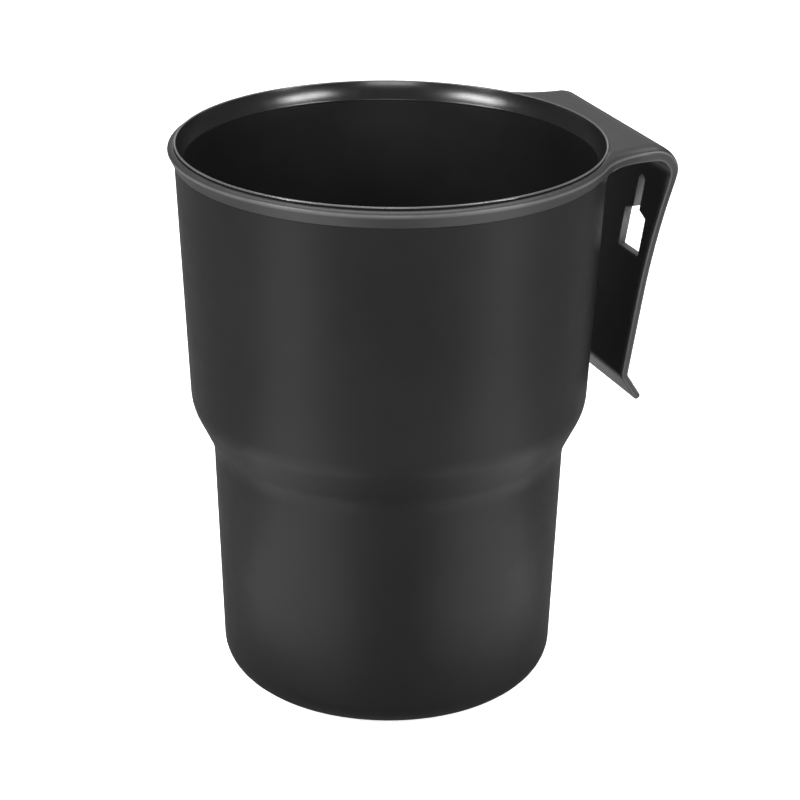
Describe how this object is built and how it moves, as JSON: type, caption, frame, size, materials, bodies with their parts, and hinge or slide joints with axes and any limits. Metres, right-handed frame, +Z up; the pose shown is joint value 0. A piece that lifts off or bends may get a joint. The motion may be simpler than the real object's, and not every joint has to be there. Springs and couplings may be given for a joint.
{
  "type": "hook-on cup holder",
  "caption": "Stepped tumbler-shaped cup holder with a snap-fit collar, hanging plate and sprung hook leg with keyholes.",
  "frame": {"origin": "centre of the tumbler's base, on the floor plane", "axes": "+Z up along the tumbler's axis, +X from the tumbler's axis out over the hook, +Y across the hook"},
  "size_m": [0.1047, 0.096, 0.1245],
  "materials": {
    "tumbler_plastic": "fine matte",
    "hook_plastic": "satin"
  },
  "bodies": {
    "holder": {"tumbler": "tumbler_plastic", "hook_collar": "hook_plastic"},
    "leg": {"hook_leg": "hook_plastic"}
  },
  "joints": [
    {"name": "leg_flex", "type": "hinge", "parent": "holder", "child": "leg", "pos_m": [0.05575, 0, 0.11734], "axis": [0, -1, 0], "range_deg": [0, 10], "stiffness_Nm_per_rad": 1.3}
  ]
}
